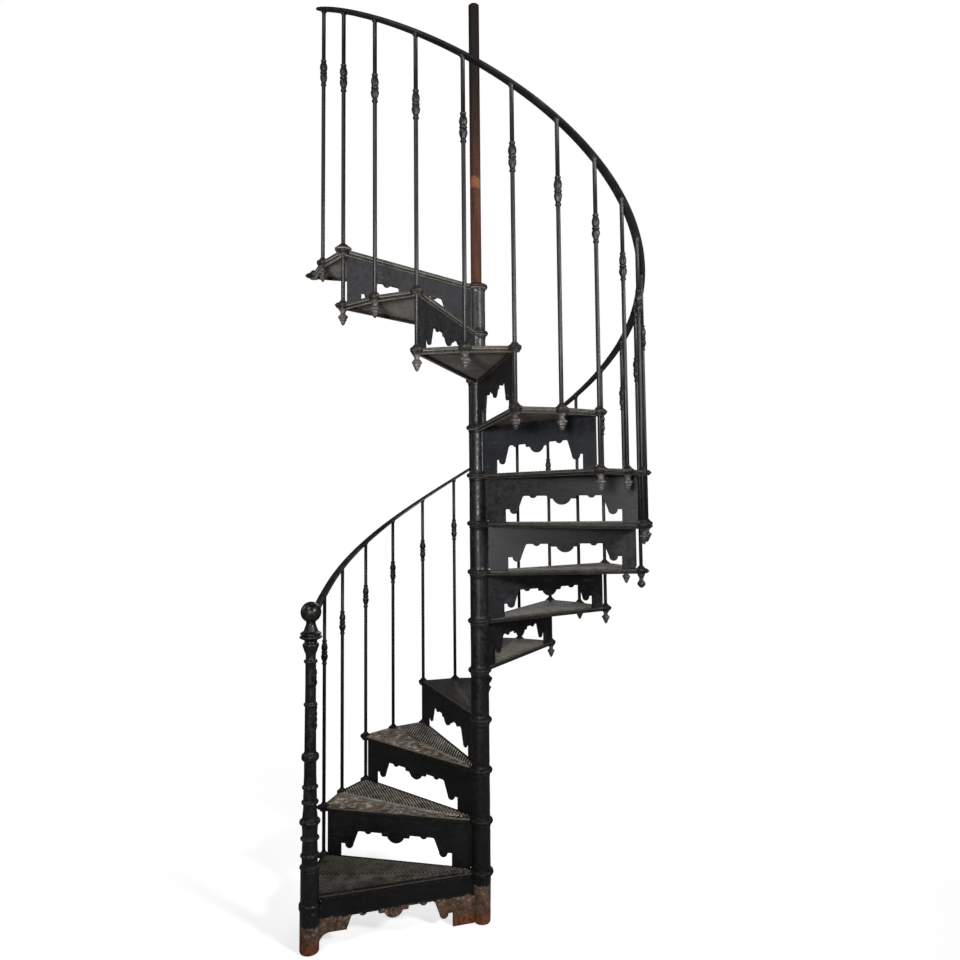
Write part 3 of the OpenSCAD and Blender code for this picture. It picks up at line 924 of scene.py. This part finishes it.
def newel():
    """The newel post, with plain leaf relief on its swellings."""
    ring_top = RISE - RIM_H
    ring_low = ring_top - 28 * MM
    foot_r, ring_r, shaft_r = 37 * MM, 41 * MM, 35 * MM
    head = rail_height(0)
    profile = [(foot_r - 5 * MM, 0), (foot_r - 1.5 * MM, 1.5 * MM), (foot_r, 5 * MM)]
    profile += [(foot_r, lerp(5 * MM, ring_low - 4 * MM, i / 12)) for i in range(1, 13)]
    profile += [(shaft_r - MM, ring_low - 2 * MM), (ring_r - 4 * MM, ring_low)]
    profile += [(ring_r, ring_low + 5 * MM), (ring_r, ring_top - 6 * MM)]
    profile += [(ring_r - 4 * MM, ring_top - MM)]
    profile += [(d / 2 * MM, ring_top + z * MM) for d, z in NEWEL_LOW]
    profile += [(d / 2 * MM, head + z * MM) for d, z in NEWEL_HEAD]
    profile = [tuple(p) for p in soften(profile, 2 * MM, 2)]
    dense = [profile[0]]
    for p in profile[1:]:
        start = dense[-1]
        parts = max(1, int((p[1] - start[1]) / (6 * MM)))
        dense += [(lerp(start[0], p[0], i / parts), lerp(start[1], p[1], i / parts))
                  for i in range(1, parts + 1)]

    def low(z):
        return ring_top + z * MM

    relief = added(
        *[leafy(depth * MM, low(start), low(end), leaves, 0)
          for depth, start, end, leaves in NEWEL_LEAVES],
        leafy(1.2 * MM, head - 126 * MM, head - 76 * MM, 6, 0),
        vine(low(640), low(730)))
    shell = moved(lathe(dense, 96, relief), turned(0, NEWEL_R))
    piece("newel_post_casting", [shell], newel_iron, ["newel_post"], 50)


def vine(low, high, buds=4):
    """A strip of buds up the side of the shaft that faces the column."""
    def relief(angle, height):
        share = (height - low) / (high - low)
        if not 0 < share < 1:
            return 0.0
        facing = np.maximum(0, -np.cos(angle)) ** 10
        return 4.5 * MM * facing * (0.35 + 0.65 * abs(math.sin(math.pi * buds * share)))
    return relief


def newel_ball():
    """The ball, cut flat where it sits on the newel's neck."""
    middle = BALL_TOP - BALL_R
    cut = math.asin(NECK_R / BALL_R)
    profile = []
    rows = 40
    for i in range(rows + 1):
        a = lerp(math.pi - cut, 0.01, i / rows)
        profile.append((BALL_R * math.sin(a), middle + BALL_R * math.cos(a)))
    shell = moved(lathe(profile, 72), turned(0, NEWEL_R))
    piece("newel_ball_casting", [shell], ball_iron, ["newel_ball"], 60)


# ---- Studio ----

def camera():
    """Camera at eye height in front of the stair."""
    lens = bpy.data.cameras.new("camera")
    lens.lens, lens.sensor_width = 27.196, 36
    lens.shift_x, lens.shift_y = 0.02364, -0.02828
    made = bpy.data.objects.new("camera", lens)
    turn = Matrix.Rotation(math.radians(1.623), 4, "Z")
    tilt = Matrix.Rotation(math.radians(93.638), 4, "X")
    roll = Matrix.Rotation(math.radians(-0.437), 4, "Z")
    made.matrix_world = Matrix.Translation((0, -3.0379, 1.698)) @ turn @ tilt @ roll
    bpy.context.scene.collection.objects.link(made)
    bpy.context.scene.camera = made


def softbox(name, place, target, size, power, spread=180):
    """Round soft lamp that faces a target, narrowed to a spread in degrees."""
    lamp = bpy.data.lights.new(name, "AREA")
    lamp.shape, lamp.size, lamp.energy, lamp.spread = "DISK", size, power, math.radians(spread)
    made = bpy.data.objects.new(name, lamp)
    made.location = place
    made.rotation_euler = (Vector(target) - Vector(place)).to_track_quat("-Z", "Y").to_euler()
    made.visible_camera = False
    bpy.context.scene.collection.objects.link(made)


def studio():
    """White surroundings and soft lamps; the surroundings light the stair only faintly."""
    scene = bpy.context.scene
    scene.view_settings.view_transform = "Standard"
    world = bpy.data.worlds.new("studio")
    scene.world = world
    world.use_nodes = True
    tree = world.node_tree
    seen = tree.nodes["Background"]
    seen.inputs["Color"].default_value = (1, 1, 1, 1)
    soft = tree.nodes.new("ShaderNodeBackground")
    soft.inputs["Strength"].default_value = 0.06
    ray = tree.nodes.new("ShaderNodeLightPath")
    both = tree.nodes.new("ShaderNodeMixShader")
    tree.links.new(ray.outputs["Is Camera Ray"], both.inputs[0])
    tree.links.new(soft.outputs[0], both.inputs[1])
    tree.links.new(seen.outputs[0], both.inputs[2])
    tree.links.new(both.outputs[0], tree.nodes["World Output"].inputs["Surface"])
    softbox("key", (-0.5, -3.7, 1.9), (0.1, 0, 2.7), 0.6, 48, 85)
    softbox("second", (2.6, -2.6, 3.0), (0, 0, 2.5), 0.8, 55, 100)
    softbox("high", (-1.6, -2.8, 4.4), (0, 0, 1.6), 0.8, 45)
    softbox("left", (-4.2, 0.2, 3.4), (0, 0, 2), 2.0, 25)
    softbox("right", (4.2, 0.8, 3.4), (0, 0, 2), 2.0, 35)
    softbox("back", (0.5, 4.4, 3.8), (0, 0, 2), 2.0, 50)


def floor():
    """Pale round floor that fades out into the white studio."""
    radius, sides = 3.2, 96
    mesh = bpy.data.meshes.new("floor")
    points = [(*polar(radius, 2 * math.pi * i / sides), -MM) for i in range(sides)]
    mesh.from_pydata(points, [], [tuple(range(sides))])
    made = bpy.data.objects.new("floor", mesh)
    bpy.context.scene.collection.objects.link(made)
    f = Finish("floor_pale", 0.1)
    f.shader.inputs["Roughness"].default_value = 0.9
    tint = f.mix(f.noise(3, 3), (0.86, 0.86, 0.86), (0.90, 0.90, 0.90))
    f.put(tint, f.shader.inputs["Base Color"])
    f.shader.inputs["Emission Color"].default_value = (1, 1, 1, 1)
    f.shader.inputs["Emission Strength"].default_value = 0.6
    away = f.node("ShaderNodeVectorMath", {0: f.place}, operation="LENGTH").outputs["Value"]
    faded = f.spread(away, 0.8, 2.6)
    seen = f.node("ShaderNodeLightPath").outputs["Is Camera Ray"]
    hidden = f.larger(faded, f.minus(0.85, f.times(seen, 0.85)))
    clear = f.node("ShaderNodeBsdfTransparent")
    both = f.node("ShaderNodeMixShader", {0: hidden, 1: f.shader.outputs[0], 2: clear.outputs[0]})
    f.put(both.outputs[0], f.tree.nodes["Material Output"].inputs["Surface"])
    mesh.materials.append(f.material)


camera()
studio()
floor()
column_foot()
column_drums()
centre_pipe()
newel()
newel_ball()
for number in range(1, STEPS + 1):
    tread(number)
    riser(number)
handrail()
# The balusters and pendants of the first six treads are the lower ones
HALF = 6
HALVES = (("lower", range(1, HALF + 1)), ("upper", range(HALF + 1, STEPS + 1)))
for build, kind in ((balusters, "balusters"), (pendants, "pendants")):
    for where, shift in (("corner", 0), ("middle", 0.5)):
        for part, steps in HALVES:
            build(f"{where}_{kind}_{part}", [k - shift for k in steps if k - shift < STEPS])
